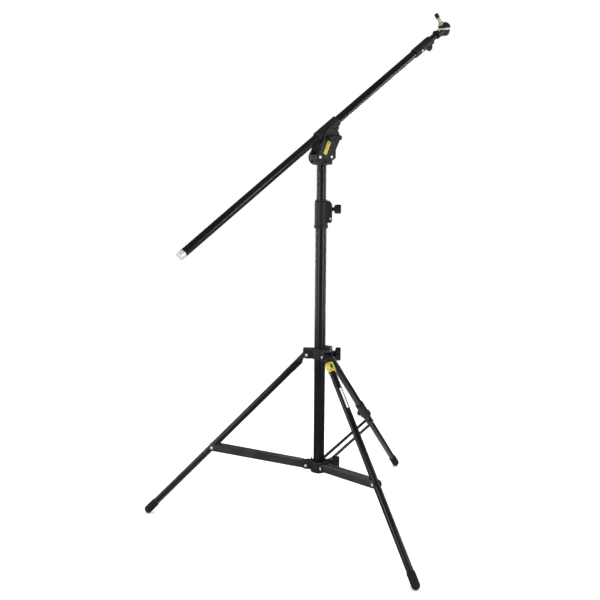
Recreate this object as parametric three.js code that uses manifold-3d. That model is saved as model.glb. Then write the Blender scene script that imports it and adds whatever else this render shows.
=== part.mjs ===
// Boom light stand: a folding tripod base with one levelling leg, a telescoping column and a
// tilting, sliding boom with a 16 mm spigot head.  Millimetres, +Z up, floor at z = 0.
// The boom lies in the XZ plane and rises towards +X; the origin is on the floor in the middle
// of the stand's plan outline.

import * as THREE from "three";
import { mergeVertices } from "three/addons/utils/BufferGeometryUtils.js";
import Module from "manifold-3d";

const wasm = await Module();
wasm.setup();

// ---------- driving dimensions ----------

const COLUMN = { x: -12.7, y: 90.9, radius: 17.5, bore: 15.7, bottom: 157, top: 1012 };
const RISER = { radius: 15, bore: 13.4, bottom: 312, top: 1168 };
const BOOM = { radius: 12.5, bore: 11.2, tail: -611, plugEnd: -594, tip: 538 };
const EXTENSION = { radius: 10, bore: 8.6, inner: 100, tip: 596 };
const LEG = { radius: 11, bore: 9.4, tubeStart: 34, tubeEnd: 726, footCentre: 742, footRadius: 13 };
const LEVELLER = { radius: 10.4, bore: 8.8, start: 145, sleeveRadius: 11.7, sleeveBore: 10.8 };
const GAP = 0.3;

// Fold linkage of each leg: a pivot on the sliding leg collar, a pivot on the lower hub and one
// where the brace meets the leg.  Both ends of the fold fix the two link lengths.
const PIVOT_RADIUS = 42;
const HUB_PIVOT_Z = 179;
const COLLAR_PIVOT_Z = 545;
const FOLDED_PIVOT_Z = 923;
const LEG_ANGLE = THREE.MathUtils.degToRad(44.1);
const FOLDED_LEG_ANGLE = THREE.MathUtils.degToRad(2.5);
const OPEN_RISE = COLLAR_PIVOT_Z - HUB_PIVOT_Z;
const FOLDED_RISE = FOLDED_PIVOT_Z - HUB_PIVOT_Z;
const ARM = (FOLDED_RISE ** 2 - OPEN_RISE ** 2)
  / (2 * (FOLDED_RISE * Math.cos(FOLDED_LEG_ANGLE) - OPEN_RISE * Math.cos(LEG_ANGLE)));
const BRACE_RISE = OPEN_RISE - ARM * Math.cos(LEG_ANGLE);
const BRACE_RUN = ARM * Math.sin(LEG_ANGLE);
const BRACE = Math.hypot(BRACE_RISE, BRACE_RUN);
const BRACE_ANGLE = Math.atan2(BRACE_RISE, BRACE_RUN);

// Directions seen from above, measured from the boom's direction.
const LEGS = { back: 19, left: 139, front: 259 };
const KNOB_SIDE = 319;

// Boom: where its axis crosses the column axis, its rise, and the tilt pivot beside it.
const BOOM_Z = 1232.7;
const BOOM_RISE = THREE.MathUtils.degToRad(33.2);
const PIVOT = { x: 22.5, z: 1220.5 };
const PIVOT_ALONG = 12.2;
const PIVOT_BELOW = 22.5;

// Pivot pins and rivets, the studs of the hand knobs, and the bolt that the boom tilts on.
const PIN = { radius: 2.8, head: 4.6, headHeight: 2.2, hole: 3.2 };
const STUD = { radius: 4, hole: 4.4 };
const TILT_BOLT = { radius: 4, end: 29, head: 7.5, headHeight: 6 };
const EAR = { inner: 12.3, outer: 15.8 };
const CHANNEL = { inner: 11.4, outer: 13.4, below: 11, webTop: 13.4, webBottom: 11.4 };
const BAR = { inner: 12.6, outer: 15.6, half: 6 };
// Half gap between the two ears of the lower hub that hold each brace, and their outer half width.
const HUB_SLOT = { back: BAR.outer + 0.4, left: CHANNEL.outer + 0.4, front: CHANNEL.outer + 0.4 };
const hubEarOuter = (side) => HUB_SLOT[side] + 3;

// Castings on the column, from the floor up.
const HUB = { bottom: 156, top: 192, radius: 27, boss: 9, knobZ: 188, pegAt: 23 };
const COLLAR = { radius: 26.5, bore: 19, below: 13, above: 18, bushOuter: 18.7, bushBore: 17.8 };
const COLLAR_KNOB_Z = COLLAR_PIVOT_Z + 1;
const RISER_LOCK = { bottom: 945, top: 1030, radius: 20.5, knobZ: 1004 };
const CHEEK = { inner: 17, outer: 22, bolts: [-25, 21], boltZ: 1163, reach: 31.5 };
const SOCKET = { bottom: 1138, top: 1176, radius: 19, studZ: 1161 };

// Segments of full circles: large, usual and small ones.
const FINE = 28;
const ROUND = 20;
const SMALL = 10;

// ---------- materials ----------

const FINISHES = {
  tube: { color: 0x111112, roughness: 0.35, metalness: 0.6 },
  casting: { color: 0x18181a, roughness: 0.62, metalness: 0.3 },
  brace: { color: 0x1d1e1c, roughness: 0.5, metalness: 0.4 },
  plastic: { color: 0x151516, roughness: 0.55, metalness: 0.0 },
  rubber: { color: 0x0d0d0e, roughness: 0.85, metalness: 0.0 },
  nylon: { color: 0x202021, roughness: 0.6, metalness: 0.0 },
  zinc: { color: 0xc4c6c8, roughness: 0.32, metalness: 1.0 },
  aluminium: { color: 0xc9cbce, roughness: 0.28, metalness: 1.0 },
  brass: { color: 0xb79a56, roughness: 0.3, metalness: 1.0 },
};

// ---------- solids ----------

function toSolid(geometry) {
  const bare = geometry.clone();
  bare.deleteAttribute("normal");
  bare.deleteAttribute("uv");
  const merged = mergeVertices(bare, 1e-4);
  const triVerts = Uint32Array.from(merged.index.array);
  const vertProperties = Float32Array.from(merged.attributes.position.array);
  return new wasm.Manifold(new wasm.Mesh({ numProp: 3, vertProperties, triVerts }));
}

function toGeometry(solid) {
  const mesh = solid.getMesh();
  const geometry = new THREE.BufferGeometry();
  geometry.setAttribute("position", new THREE.BufferAttribute(mesh.vertProperties, 3));
  geometry.setIndex(new THREE.BufferAttribute(mesh.triVerts, 1));
  geometry.computeVertexNormals();
  return geometry;
}

const join = (...pieces) => toGeometry(pieces.map(toSolid).reduce((sum, next) => sum.add(next)));
const cut = (body, ...tools) =>
  toGeometry(tools.map(toSolid).reduce((rest, tool) => rest.subtract(tool), toSolid(body)));
const common = (a, b) => toGeometry(toSolid(a).intersect(toSolid(b)));
const turnedAbout = (geometry, degrees) => geometry.rotateZ(THREE.MathUtils.degToRad(degrees));

// Round bar along Z, round bar along Y, and round bar along X.
function rod(radius, from, to, segments = ROUND) {
  const bar = new THREE.CylinderGeometry(radius, radius, to - from, segments);
  return bar.rotateX(Math.PI / 2).translate(0, 0, (from + to) / 2);
}
const rodY = (radius, from, to, x = 0, z = 0, segments = SMALL) =>
  rod(radius, -to, -from, segments).rotateX(Math.PI / 2).translate(x, 0, z);
const rodX = (radius, from, to, z = 0, segments = ROUND) =>
  rod(radius, from, to, segments).rotateY(Math.PI / 2).translate(0, 0, z);
const pinHole = (x, z) => rodY(PIN.hole, -30, 30, x, z);

// Body turned about Z from [radius, z] points going round its section.
function turned(points, segments = ROUND) {
  const profile = points.map(([radius, z]) => new THREE.Vector2(radius, z));
  return new THREE.LatheGeometry(profile, segments).rotateX(Math.PI / 2);
}
const tube = (outer, inner, from, to, segments = ROUND) =>
  turned([[inner, from], [outer, from], [outer, to], [inner, to], [inner, from]], segments);

function box(x, y, z) {
  const size = [x[1] - x[0], y[1] - y[0], z[1] - z[0]];
  const middle = [x[0] + x[1], y[0] + y[1], z[0] + z[1]].map((sum) => sum / 2);
  return new THREE.BoxGeometry(...size).translate(...middle);
}

// Side view outline (x, z) given a thickness from one y to another.
function sidePlate(shape, from, to, curveSegments = 6) {
  const options = { depth: to - from, bevelEnabled: false, curveSegments };
  const plate = new THREE.ExtrudeGeometry(shape, options);
  return plate.rotateX(Math.PI / 2).translate(0, to, 0);
}
function outline(points) {
  return new THREE.Shape(points.map(([x, z]) => new THREE.Vector2(x, z)));
}

// Ribbed hand knob: axis along X, seated at x = from, with its neck and stud towards -X.
function knob({ radius, depth, lobes, from, neck, studLength }) {
  const rib = radius * 0.05;
  const steps = lobes * 3;
  const ring = Array.from({ length: steps }, (_, i) => {
    const angle = (i / steps) * 2 * Math.PI;
    const reach = radius - 1.2 - rib * (1 - Math.cos(angle * lobes));
    return new THREE.Vector2(reach * Math.cos(angle), reach * Math.sin(angle));
  });
  const bevel = { bevelEnabled: true, bevelThickness: 1.5, bevelSize: 1.2, bevelSegments: 1 };
  const head = new THREE.ExtrudeGeometry(new THREE.Shape(ring), { depth: depth - 3, ...bevel });
  head.rotateY(Math.PI / 2).translate(from + 1.5, 0, 0);
  return join(
    head,
    rodX(neck.radius, from - neck.length, from + 1, 0, 16),
    rodX(STUD.radius, from - neck.length - studLength, from, 0, 8),
  );
}

// Rivet along Y with a domed head outside each face at y = -reach and y = reach.
function rivet(reach) {
  const face = reach + GAP;
  const crown = face + PIN.headHeight;
  const half = [[PIN.radius, face], [PIN.head, face], [PIN.head * 0.7, crown], [0, crown]];
  const mirrored = half.map(([radius, z]) => [radius, -z]).reverse();
  return turned([...mirrored, ...half], SMALL).rotateX(Math.PI / 2);
}

// Short screw along Z: its shank from z = start to its head's seat at z = face.
function shoulderScrew(start, face) {
  const { radius, head, headHeight } = PIN;
  return turned([[0, start], [radius, start], [radius, face], [head, face],
    [head * 0.7, face + headHeight], [0, face + headHeight], [0, start]], SMALL);
}

// ---------- scene helpers ----------

const stand = new THREE.Group();
const column = new THREE.Group();
column.position.set(COLUMN.x, COLUMN.y, 0);
stand.add(column);

function add(group, name, geometry, finish) {
  const mesh = new THREE.Mesh(geometry, new THREE.MeshStandardMaterial(FINISHES[finish]));
  mesh.name = name;
  group.add(mesh);
  return mesh;
}

function subgroup(parent, place) {
  const group = new THREE.Group();
  place(group);
  parent.add(group);
  return group;
}
const facing = (degrees) =>
  subgroup(column, (group) => { group.rotation.z = THREE.MathUtils.degToRad(degrees); });

// ---------- column and lower hub ----------

function addColumn() {
  const { radius, bore, bottom, top } = COLUMN;
  add(column, "column_tube", tube(radius, bore, bottom, top, FINE), "tube");
  const plug = turned([[0, 152], [radius, 152], [radius, bottom - GAP], [bore - GAP, bottom - GAP],
    [bore - GAP, 170], [0, 170], [0, 152]]);
  add(column, "column_end_plug", plug, "plastic");
}

function hubEars(side) {
  const shape = new THREE.Shape();
  shape.moveTo(20, HUB_PIVOT_Z - 13);
  shape.lineTo(PIVOT_RADIUS, HUB_PIVOT_Z - 12);
  shape.absarc(PIVOT_RADIUS, HUB_PIVOT_Z, 12, -Math.PI / 2, Math.PI / 2, false);
  shape.lineTo(20, HUB_PIVOT_Z + 13);
  const half = hubEarOuter(side);
  const block = sidePlate(shape, -half, half);
  const slot = box([28, 60], [-HUB_SLOT[side], HUB_SLOT[side]], [150, 210]);
  return cut(block, slot, pinHole(PIVOT_RADIUS, HUB_PIVOT_Z));
}

function addLowerHub() {
  const { bottom, top, radius, knobZ } = HUB;
  const ring = rod(radius, bottom, top, FINE);
  const ears = Object.entries(LEGS).map(([side, angle]) => turnedAbout(hubEars(side), angle));
  const boss = turnedAbout(rodX(HUB.boss, 20, 33, knobZ), KNOB_SIDE);
  const bore = rod(COLUMN.radius + GAP, 100, 300, FINE);
  const studHole = turnedAbout(rodX(STUD.hole, 10, 50, knobZ, 16), KNOB_SIDE);
  add(column, "lower_hub", cut(join(ring, boss, ...ears), bore, studHole), "casting");

  const seat = top + GAP;
  const peg = turned([[0, seat], [2.6, seat], [2.6, top + 3], [1.8, top + 4], [1.8, top + 11],
    [0, top + 12.5]], 12);
  add(facing(LEGS.left), "hub_catch_peg", peg.translate(HUB.pegAt, 0, 0), "plastic");

  for (const [side, angle] of Object.entries(LEGS)) {
    const pin = rivet(hubEarOuter(side)).translate(PIVOT_RADIUS, 0, HUB_PIVOT_Z);
    add(facing(angle), `hub_pin_${side}`, pin, "zinc");
  }
  const hubKnob = knob({ radius: 18.5, depth: 25, lobes: 10, from: 42,
    neck: { radius: 8, length: 8.3 }, studLength: 14 });
  add(facing(KNOB_SIDE), "lower_hub_knob", hubKnob.translate(0, 0, HUB.knobZ), "plastic");
}

// ---------- sliding leg collar ----------

function collarEars() {
  const z = COLLAR_PIVOT_Z;
  const top = z + COLLAR.above;
  const shape = outline([[20, z - 12], [46, z - 12], [53, z - 4], [53, top], [20, top]]);
  const block = sidePlate(shape, -EAR.outer, EAR.outer);
  const slot = box([30, 70], [-EAR.inner, EAR.inner], [z - 40, z + 30]);
  return cut(block, slot, pinHole(PIVOT_RADIUS, z));
}

function addLegCollar() {
  const z = COLLAR_PIVOT_Z;
  const { radius, below, above, bushOuter, bushBore } = COLLAR;
  const ring = rod(radius, z - below, z + above, FINE);
  const ears = Object.values(LEGS).map((angle) => turnedAbout(collarEars(), angle));
  const lug = turnedAbout(box([18, 41], [-13, 13], [z - 12, z + 21]), KNOB_SIDE);
  const bore = rod(COLLAR.bore, z - 60, z + 60, FINE);
  const studHole = turnedAbout(rodX(STUD.hole, 19, 60, COLLAR_KNOB_Z, 16), KNOB_SIDE);
  add(column, "leg_collar", cut(join(ring, lug, ...ears), bore, studHole), "casting");
  const bush = tube(bushOuter, bushBore, z - below - 1, z + above + 1.5, FINE);
  add(column, "leg_collar_bush", bush, "nylon");
  for (const [side, angle] of Object.entries(LEGS)) {
    const pin = rivet(EAR.outer).translate(PIVOT_RADIUS, 0, z);
    add(facing(angle), `leg_pin_${side}`, pin, "zinc");
  }
  const collarKnob = knob({ radius: 21.5, depth: 17, lobes: 12, from: 49,
    neck: { radius: 11, length: 7.5 }, studLength: 20 });
  add(facing(KNOB_SIDE), "leg_collar_knob", collarKnob.translate(0, 0, COLLAR_KNOB_Z), "plastic");
}

// ---------- braces ----------

// Brace frame: origin at the hub pivot, X out along the brace, Z towards its upper side.
function braceFrame(angle) {
  return subgroup(facing(angle), (group) => {
    group.position.set(PIVOT_RADIUS, 0, HUB_PIVOT_Z);
    group.rotation.y = -BRACE_ANGLE;
  });
}

function channelBrace() {
  const { inner, outer, below, webTop, webBottom } = CHANNEL;
  const webStart = 16;
  const webEnd = BRACE - 25;
  const cheek = new THREE.Shape();
  cheek.moveTo(0, -below);
  cheek.lineTo(BRACE, -below);
  cheek.absarc(BRACE, 0, below, -Math.PI / 2, Math.PI / 2, false);
  cheek.lineTo(webEnd, webTop);
  cheek.lineTo(webStart, webTop);
  cheek.absarc(0, 0, below, Math.PI / 2, Math.PI * 1.5, false);
  const solid = sidePlate(cheek, -outer, outer);
  const trough = box([-40, BRACE + 40], [-inner, inner], [-40, webBottom]);
  const innerMouth = box([-40, webStart], [-inner, inner], [0, 40]);
  const outerMouth = box([webEnd, BRACE + 40], [-inner, inner], [0, 40]);
  const holes = [0, BRACE].map((x) => pinHole(x, 0));
  return cut(solid, trough, innerMouth, outerMouth, ...holes);
}

function barBrace(from, to) {
  const bar = new THREE.Shape();
  bar.absarc(BRACE, 0, BAR.half, -Math.PI / 2, Math.PI / 2, false);
  bar.absarc(0, 0, BAR.half, Math.PI / 2, Math.PI * 1.5, false);
  const holes = [0, BRACE].map((x) => pinHole(x, 0));
  return cut(sidePlate(bar, from, to), ...holes);
}

function addBraces() {
  for (const side of ["left", "front"]) {
    const frame = braceFrame(LEGS[side]);
    add(frame, `brace_${side}`, channelBrace(), "brace");
    add(frame, `brace_pin_${side}`, rivet(CHANNEL.outer).translate(BRACE, 0, 0), "zinc");
  }
  const frame = braceFrame(LEGS.back);
  add(frame, "brace_back_near_bar", barBrace(-BAR.outer, -BAR.inner), "brace");
  add(frame, "brace_back_far_bar", barBrace(BAR.inner, BAR.outer), "brace");
  for (const [place, turn] of [["near", Math.PI / 2], ["far", -Math.PI / 2]]) {
    const screw = shoulderScrew(LEVELLER.radius + 0.8, BAR.outer + GAP);
    screw.rotateX(turn).translate(BRACE, 0, 0);
    add(frame, `brace_screw_back_${place}`, screw, "zinc");
  }
}

// ---------- legs ----------

// Leg frame: origin at the leg's top pivot, Z down the leg, X towards its underside.
function legFrame(angle) {
  return subgroup(facing(angle), (group) => {
    group.position.set(PIVOT_RADIUS, 0, COLLAR_PIVOT_Z);
    group.rotation.y = Math.PI - LEG_ANGLE;
  });
}

// Cast top end of a leg.  Its underside is open so that the fitting can leave the pivot pin.
function legTop(plugRadius) {
  const end = LEG.tubeStart - GAP;
  const head = new THREE.Shape();
  head.moveTo(LEG.radius, end);
  head.lineTo(-LEG.radius, end);
  head.lineTo(-LEG.radius, 0);
  head.absarc(0, 0, LEG.radius, Math.PI, Math.PI * 2, false);
  const rounded = common(sidePlate(head, -LEG.radius, LEG.radius), rod(12.6, -20, end, FINE));
  const plug = rod(plugRadius, end - 1, end + 26);
  const notch = outline([[-1.9, 4.4], [-3.2, 1], [-2.3, -2.3], [0, -3.3], [15, -0.2], [15, 40],
    [12.4, 33.8], [5.7, 22.5], [2.9, 16.8]]);
  return cut(join(rounded, plug), sidePlate(notch, -30, 30));
}

// Rubber foot: a cap over the tube's end, cut level where it stands on the floor.
function foot(tubeRadius, tubeEnd) {
  const { footCentre, footRadius } = LEG;
  const bore = tubeRadius + GAP;
  const seat = tubeEnd + GAP;
  const steps = 4;
  const dome = Array.from({ length: steps + 1 }, (_, i) => {
    const angle = (i / steps) * (Math.PI / 2);
    return [i === steps ? 0 : footRadius * Math.cos(angle), footCentre + footRadius * Math.sin(angle)];
  });
  const cap = turned([[0, seat], [bore, seat], [bore, 704], [footRadius - 1, 704],
    [footRadius, 706], ...dome, [0, seat]], ROUND);
  const floor = box([0, 900], [-100, 100], [-300, 0]).translate(0, 0, -COLLAR_PIVOT_Z);
  return cut(cap, floor.rotateY(LEG_ANGLE - Math.PI));
}

function addLegs() {
  for (const side of ["left", "front"]) {
    const frame = legFrame(LEGS[side]);
    const bar = tube(LEG.radius, LEG.bore, LEG.tubeStart, LEG.tubeEnd, ROUND);
    add(frame, `leg_tube_${side}`, cut(bar, pinHole(0, ARM)), "tube");
    add(frame, `leg_top_${side}`, legTop(LEG.bore - GAP), "casting");
    add(frame, `foot_${side}`, foot(LEG.radius, LEG.tubeEnd), "rubber");
  }
  addLevellingLeg();
}

// The back leg: an upper sleeve with a clamp, and a lower tube that slides inside it.
function addLevellingLeg() {
  const { radius, bore, start, sleeveRadius, sleeveBore } = LEVELLER;
  const frame = legFrame(LEGS.back);
  const sleeveEnd = 402;
  const knobAt = 388;
  const sleeve = tube(sleeveRadius, sleeveBore, LEG.tubeStart, sleeveEnd, ROUND);
  add(frame, "leg_tube_back", sleeve, "tube");
  add(frame, "leg_top_back", legTop(sleeveBore - GAP), "casting");

  const barrel = turned([[0, 318], [14, 318], [15.2, 326], [15.2, 396], [12.3, 410], [12.3, 450],
    [0, 450], [0, 318]]);
  const lug = box([-12.5, 11], [-15.6, 15.6], [372, 402]);
  const sleeveSeat = rod(sleeveRadius + GAP, 300, sleeveEnd + GAP, ROUND);
  const lowerBore = rod(radius + GAP, 300, 470, ROUND);
  const studHole = rodY(STUD.hole, 12, 40, 0, knobAt);
  const clamp = cut(join(barrel, lug), sleeveSeat, lowerBore, studHole, pinHole(0, ARM));
  add(frame, "levelling_clamp", clamp, "casting");
  const clampKnob = knob({ radius: 11, depth: 10, lobes: 8, from: 17.5,
    neck: { radius: 5.5, length: 1.5 }, studLength: 3 });
  add(frame, "levelling_knob", clampKnob.rotateZ(Math.PI / 2).translate(0, 0, knobAt), "plastic");

  add(frame, "levelling_tube", tube(radius, bore, start, LEG.tubeEnd, ROUND), "tube");
  add(frame, "foot_back", foot(radius, LEG.tubeEnd), "rubber");
}

// ---------- riser and its lock ----------

function addRiserLock() {
  const { bottom, top, radius, knobZ } = RISER_LOCK;
  const ring = rod(radius, bottom, top, FINE);
  const band = rod(radius + 1.4, bottom, bottom + 9, FINE);
  const lugShape = outline([[10, 962], [30, 962], [34, 968], [34, 1018], [27, 1029], [10, 1029]]);
  const lug = turnedAbout(sidePlate(lugShape, -11, 11), KNOB_SIDE);
  const seat = rod(COLUMN.radius + GAP, bottom - 20, COLUMN.top + GAP, FINE);
  const throat = rod(17.4, bottom, top + 20, FINE);
  const studHole = turnedAbout(rodX(STUD.hole, 10, 50, knobZ, 16), KNOB_SIDE);
  add(column, "riser_lock_collar", cut(join(ring, band, lug), seat, throat, studHole), "casting");
  const bush = turned([[15.3, 1013], [17.1, 1013], [17.1, top + GAP], [19, top + GAP],
    [19, top + 2.3], [15.3, top + 2.3], [15.3, 1013]], FINE);
  add(column, "riser_bush", bush, "nylon");
  const lockKnob = knob({ radius: 14, depth: 20, lobes: 10, from: 41,
    neck: { radius: 6, length: 6.5 }, studLength: 14 });
  add(facing(KNOB_SIDE), "riser_lock_knob", lockKnob.translate(0, 0, knobZ), "plastic");
}

function addRiser() {
  const { radius, bore, bottom, top } = RISER;
  add(column, "riser_tube", tube(radius, bore, bottom, top, FINE), "tube");
  const slider = COLUMN.bore - GAP;
  const plug = bore - GAP;
  const bush = turned([[0, bottom - 12], [slider, bottom - 12], [slider, bottom - GAP],
    [plug, bottom - GAP], [plug, bottom + 24], [0, bottom + 24], [0, bottom - 12]]);
  add(column, "riser_foot_bush", bush, "nylon");
}

// ---------- tilting head ----------

function cheekOutline() {
  const shape = new THREE.Shape();
  shape.moveTo(-24, 1150);
  shape.lineTo(30, 1150);
  shape.lineTo(38, 1157);
  shape.lineTo(38.5, 1183);
  shape.absarc(PIVOT.x, PIVOT.z, CHEEK.reach, -0.4, Math.PI - 0.1, false);
  shape.lineTo(-31, 1168);
  shape.lineTo(-31, 1156);
  return shape;
}

function addHead() {
  const neck = rod(SOCKET.radius, SOCKET.bottom, SOCKET.top, FINE);
  const skirt = rod(SOCKET.radius + 2, SOCKET.bottom, SOCKET.bottom + 7, FINE);
  const yokeShape = outline([[-32, 1153], [-27, 1150], [28, 1150], [34, 1156], [34, 1171],
    [-32, 1171]]);
  const face = CHEEK.inner - GAP;
  const yoke = sidePlate(yokeShape, -face, face);
  const tubeSeat = rod(RISER.radius + GAP, 1100, RISER.top + GAP, FINE);
  const throat = rod(RISER.bore, 1100, 1200, FINE);
  const flats = [[face, 60], [-60, -face]].map((side) => box([-60, 60], side, [1149, 1200]));
  const boltHoles = CHEEK.bolts.map((x) => pinHole(x, CHEEK.boltZ));
  const studHole = rodY(STUD.hole, RISER.radius, 40, 0, SOCKET.studZ);
  const body = join(neck, skirt, yoke);
  add(column, "head_socket", cut(body, tubeSeat, throat, ...flats, ...boltHoles, studHole), "casting");

  const pivotHole = rodY(TILT_BOLT.radius + GAP, -40, 40, PIVOT.x, PIVOT.z, 14);
  const near = sidePlate(cheekOutline(), -CHEEK.outer, -CHEEK.inner, 12);
  const far = sidePlate(cheekOutline(), CHEEK.inner, CHEEK.outer, 12);
  add(column, "head_cheek_near", cut(near, pivotHole, ...boltHoles), "casting");
  add(column, "head_cheek_far", cut(far, pivotHole, studHole, ...boltHoles), "casting");
  for (const [place, x] of [["rear", CHEEK.bolts[0]], ["front", CHEEK.bolts[1]]]) {
    add(column, `head_bolt_${place}`, rivet(CHEEK.outer).translate(x, 0, CHEEK.boltZ), "zinc");
  }
  const socketKnob = knob({ radius: 24, depth: 13, lobes: 14, from: 25.2,
    neck: { radius: 10, length: 2.9 }, studLength: 5.5 });
  socketKnob.rotateZ(Math.PI / 2).translate(0, 0, SOCKET.studZ);
  add(column, "socket_lock_knob", socketKnob, "plastic");
}

// Bolt through both cheeks and the sleeve's boss, and the T-shaped knob on its near end.
function addTiltBolt() {
  const { radius, end, head, headHeight } = TILT_BOLT;
  const seat = CHEEK.outer + GAP;
  const top = seat + headHeight;
  const bolt = turned([[0, -end], [radius, -end], [radius, seat], [head, seat], [head, top],
    [0, top], [0, -end]]);
  const atPivot = (geometry) => geometry.translate(PIVOT.x, 0, PIVOT.z);
  add(column, "tilt_bolt", atPivot(bolt.rotateX(-Math.PI / 2)), "zinc");

  const hub = rodY(9.5, -34, -seat, 0, 0, 24);
  const wing = new THREE.Shape();
  wing.absarc(15.5, 0, 6, -Math.PI / 2, Math.PI / 2, false);
  wing.absarc(-15.5, 0, 6, Math.PI / 2, Math.PI * 1.5, false);
  const options = { depth: 10, bevelEnabled: true, bevelThickness: 2.5, bevelSize: 2,
    bevelSegments: 1, curveSegments: 6 };
  const bar = new THREE.ExtrudeGeometry(wing, options).rotateX(Math.PI / 2).translate(0, -31, 0);
  const socket = rodY(radius + GAP, -end - GAP, 0, 0, 0, ROUND);
  add(column, "tilt_knob", atPivot(cut(join(hub, bar), socket)), "plastic");
}

// ---------- boom ----------

// Boom frame: origin where its axis crosses the column axis, X along it, Z to its upper side.
const boom = subgroup(column, (group) => {
  group.position.set(0, 0, BOOM_Z);
  group.rotation.y = -BOOM_RISE;
});
// Lays a body turned about Z along the boom; its X side then points below the boom.
const alongBoom = (geometry) => geometry.rotateY(Math.PI / 2);

function addSleeve() {
  const barrel = rodX(16.6, -23, 70, 0, FINE);
  const boss = rodY(15, -16.6, 16.6, PIVOT_ALONG, -PIVOT_BELOW, 24);
  const gusset = outline([[-20, -8], [60, -8], [62, -20], [50, -24], [24, -30], [2, -30],
    [-14, -20]]);
  const bore = rodX(13.7, -60, 120, 0, FINE);
  const boltHole = rodY(TILT_BOLT.radius + GAP, -40, 40, PIVOT_ALONG, -PIVOT_BELOW, 14);
  const body = join(barrel, boss, sidePlate(gusset, -10, 10));
  add(boom, "boom_sleeve", cut(body, bore, boltHole), "casting");
  add(boom, "boom_sleeve_liner", alongBoom(tube(13.4, 12.8, -24, 71, FINE)), "nylon");
}

function addBoom() {
  const { radius, bore, tail, plugEnd, tip } = BOOM;
  add(boom, "boom_tube", alongBoom(tube(radius, bore, plugEnd + GAP, tip, FINE)), "tube");
  const plug = turned([[0, tail], [radius - 1, tail], [radius, tail + 1], [radius, plugEnd],
    [bore - GAP, plugEnd], [bore - GAP, plugEnd + 22], [0, plugEnd + 22], [0, tail]]);
  add(boom, "boom_tail_plug", alongBoom(plug), "aluminium");
}

const CLAMP_TURN = THREE.MathUtils.degToRad(38);
const CLAMP_KNOB_ALONG = 553;

function addExtensionClamp() {
  const frame = subgroup(boom, (group) => { group.rotation.x = CLAMP_TURN; });
  const barrel = turned([[0, 460], [14.6, 460], [15.2, 466], [15.2, 530], [14.4, 547], [0, 547],
    [0, 460]], FINE);
  const lug = box([8, 24], [-9, 9], [532, 563]);
  const seat = rod(BOOM.radius + GAP, 440, BOOM.tip + GAP, FINE);
  const throat = rod(EXTENSION.radius + GAP, 440, 600, FINE);
  const studHole = rodX(STUD.hole, 13, 60, CLAMP_KNOB_ALONG, 16);
  const clamp = cut(join(barrel, lug), seat, throat, studHole);
  add(frame, "extension_clamp", alongBoom(clamp), "casting");
  const clampKnob = knob({ radius: 10, depth: 18, lobes: 9, from: 27,
    neck: { radius: 6, length: 2.7 }, studLength: 8 });
  const placed = alongBoom(clampKnob.translate(0, 0, CLAMP_KNOB_ALONG));
  add(frame, "extension_clamp_knob", placed, "plastic");
}

// ---------- extension and spigot head ----------

// Swivel frame: origin in the middle of the swivel disc, Z along its axis.
const SWIVEL = { along: 622, up: -2.3, lean: THREE.MathUtils.degToRad(26.3) };
const DISC = { radius: 21, half: 2.5 };
const SPIGOT = { x: -11.5, z: 15, start: -7, lean: THREE.MathUtils.degToRad(33.7) };

const toBoom = (geometry) =>
  geometry.rotateY(SWIVEL.lean).translate(SWIVEL.along, 0, SWIVEL.up);
const alongSpigot = (geometry) =>
  geometry.rotateY(-SPIGOT.lean).translate(SPIGOT.x, 0, SPIGOT.z);

function addExtension() {
  const { radius, bore, inner, tip } = EXTENSION;
  add(boom, "extension_tube", alongBoom(tube(radius, bore, inner, tip, FINE)), "tube");
  const top = -DISC.half - GAP;
  const shank = rodX(14.5, 578, 612, 0, FINE);
  const bowl = turned([[0, -23], [10, -22], [16.5, -15], [18.5, -8], [18.5, top], [0, top],
    [0, -23]], FINE);
  const above = toBoom(box([-80, 80], [-80, 80], [top, 90]));
  const seat = rodX(radius + GAP, 500, tip + GAP, 0, FINE);
  add(boom, "spigot_base", cut(join(shank, toBoom(bowl)), above, seat), "casting");
  const disc = rod(DISC.radius, -DISC.half, DISC.half, FINE);
  add(boom, "swivel_disc", toBoom(disc), "zinc");
}

function addSpigotHead() {
  const bottom = DISC.half + GAP;
  const dome = turned([[0, bottom], [19.5, bottom], [20.5, 7], [18.5, 13], [12.5, 19], [5, 22],
    [0, 22], [0, bottom]], FINE).translate(1.5, 0, 0);
  const socket = alongSpigot(rod(10.5, -12, 1));
  const below = box([-60, 60], [-60, 60], [-60, bottom]);
  const hole = alongSpigot(rod(8 + GAP, SPIGOT.start - GAP, 40));
  add(boom, "spigot_block", toBoom(cut(join(dome, socket), below, hole)), "casting");

  const stud = turned([[0, SPIGOT.start], [8, SPIGOT.start], [8, 7], [6, 9], [6, 27], [4.6, 27],
    [4.6, 37], [0, 37], [0, SPIGOT.start]]);
  add(boom, "spigot", toBoom(alongSpigot(stud)), "brass");
  const cap = turned([[4.6 + GAP, 27 + GAP], [8, 27 + GAP], [8, 39.5], [7, 40.5], [0, 40.5],
    [0, 37 + GAP], [4.6 + GAP, 37 + GAP], [4.6 + GAP, 27 + GAP]]);
  add(boom, "spigot_cap", toBoom(alongSpigot(cap)), "plastic");
}

// ---------- assembly ----------

addColumn();
addLowerHub();
addLegCollar();
addBraces();
addLegs();
addRiserLock();
addRiser();
addHead();
addTiltBolt();
addSleeve();
addBoom();
addExtensionClamp();
addExtension();
addSpigotHead();

export default stand;
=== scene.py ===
"""Looks of the boom light stand: smooth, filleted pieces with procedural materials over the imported
CAD frame.  Lengths are in millimetres, in the local frames of part.mjs, and are scaled to metres
as each mesh is made.  Nothing here moves or resizes the CAD."""

import math

import bmesh
import bpy
from mathutils import Matrix, Vector


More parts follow.
